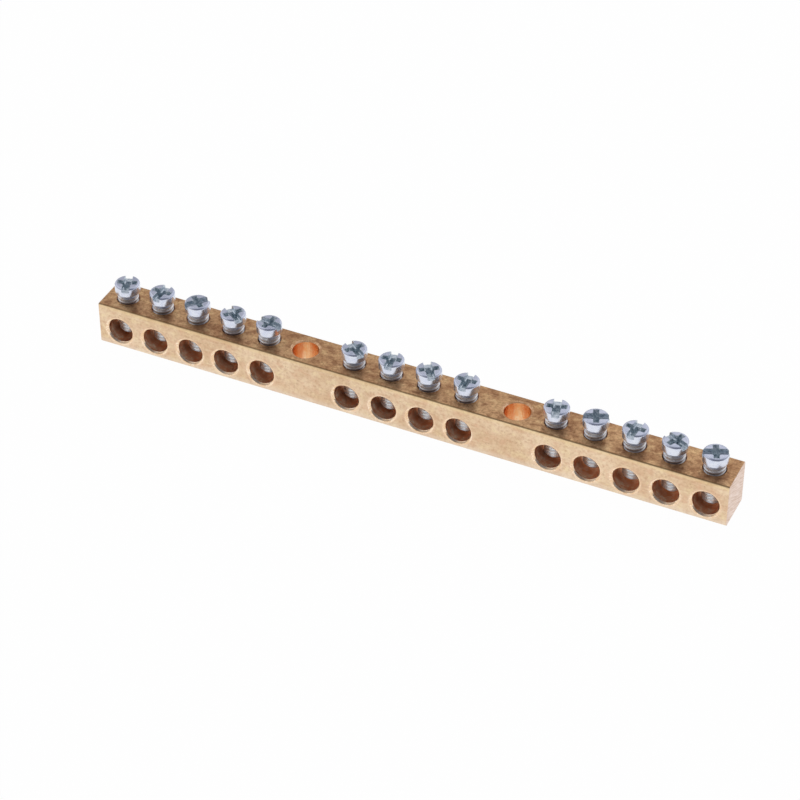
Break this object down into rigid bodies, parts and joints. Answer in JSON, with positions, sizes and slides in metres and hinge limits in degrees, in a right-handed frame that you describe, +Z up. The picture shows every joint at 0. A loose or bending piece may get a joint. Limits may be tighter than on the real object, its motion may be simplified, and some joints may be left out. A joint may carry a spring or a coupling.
{
  "type": "earth terminal bar",
  "caption": "Brass earth terminal bar with a row of wire holes in the front, a clamp screw over each, and fixing holes down through the gaps between groups.",
  "frame": {"origin": "middle of the bar's bottom face", "axes": "+X along the bar, -Y out of the front face with the wire holes, +Z up out of the face with the clamp screws"},
  "size_m": [0.126, 0.008, 0.0127],
  "materials": {
    "brass_bar": "drawn and drilled, slightly tarnished",
    "zinc_screw": "bright zinc plated"
  },
  "bodies": {
    "bar": {"terminal_bar": "brass_bar"},
    "screw_01": {"clamp_screw_01": "zinc_screw"},
    "screw_02": {"clamp_screw_02": "zinc_screw"},
    "screw_03": {"clamp_screw_03": "zinc_screw"},
    "screw_04": {"clamp_screw_04": "zinc_screw"},
    "screw_05": {"clamp_screw_05": "zinc_screw"},
    "screw_06": {"clamp_screw_06": "zinc_screw"},
    "screw_07": {"clamp_screw_07": "zinc_screw"},
    "screw_08": {"clamp_screw_08": "zinc_screw"},
    "screw_09": {"clamp_screw_09": "zinc_screw"},
    "screw_10": {"clamp_screw_10": "zinc_screw"},
    "screw_11": {"clamp_screw_11": "zinc_screw"},
    "screw_12": {"clamp_screw_12": "zinc_screw"},
    "screw_13": {"clamp_screw_13": "zinc_screw"},
    "screw_14": {"clamp_screw_14": "zinc_screw"}
  },
  "joints": [
    {"name": "clamp_travel_01", "type": "slide", "parent": "bar", "child": "screw_01", "axis": [0, 0, 1], "range_m": [-0.00015, 0.00449]},
    {"name": "clamp_travel_02", "type": "slide", "parent": "bar", "child": "screw_02", "axis": [0, 0, 1], "range_m": [-0.00035, 0.00429]},
    {"name": "clamp_travel_03", "type": "slide", "parent": "bar", "child": "screw_03", "axis": [0, 0, 1], "range_m": [-0.00035, 0.00429]},
    {"name": "clamp_travel_04", "type": "slide", "parent": "bar", "child": "screw_04", "axis": [0, 0, 1], "range_m": [-0.0002, 0.00444]},
    {"name": "clamp_travel_05", "type": "slide", "parent": "bar", "child": "screw_05", "axis": [0, 0, 1], "range_m": [-0.0004, 0.00424]},
    {"name": "clamp_travel_06", "type": "slide", "parent": "bar", "child": "screw_06", "axis": [0, 0, 1], "range_m": [-0.00015, 0.00449]},
    {"name": "clamp_travel_07", "type": "slide", "parent": "bar", "child": "screw_07", "axis": [0, 0, 1], "range_m": [-0.0001, 0.00454]},
    {"name": "clamp_travel_08", "type": "slide", "parent": "bar", "child": "screw_08", "axis": [0, 0, 1], "range_m": [-0.00025, 0.00439]},
    {"name": "clamp_travel_09", "type": "slide", "parent": "bar", "child": "screw_09", "axis": [0, 0, 1], "range_m": [-0.0002, 0.00444]},
    {"name": "clamp_travel_10", "type": "slide", "parent": "bar", "child": "screw_10", "axis": [0, 0, 1], "range_m": [-0.00015, 0.00449]},
    {"name": "clamp_travel_11", "type": "slide", "parent": "bar", "child": "screw_11", "axis": [0, 0, 1], "range_m": [-0.00045, 0.00419]},
    {"name": "clamp_travel_12", "type": "slide", "parent": "bar", "child": "screw_12", "axis": [0, 0, 1], "range_m": [-0.0004, 0.00424]},
    {"name": "clamp_travel_13", "type": "slide", "parent": "bar", "child": "screw_13", "axis": [0, 0, 1], "range_m": [-0.00035, 0.00429]},
    {"name": "clamp_travel_14", "type": "slide", "parent": "bar", "child": "screw_14", "axis": [0, 0, 1], "range_m": [-0.00025, 0.00439]}
  ]
}
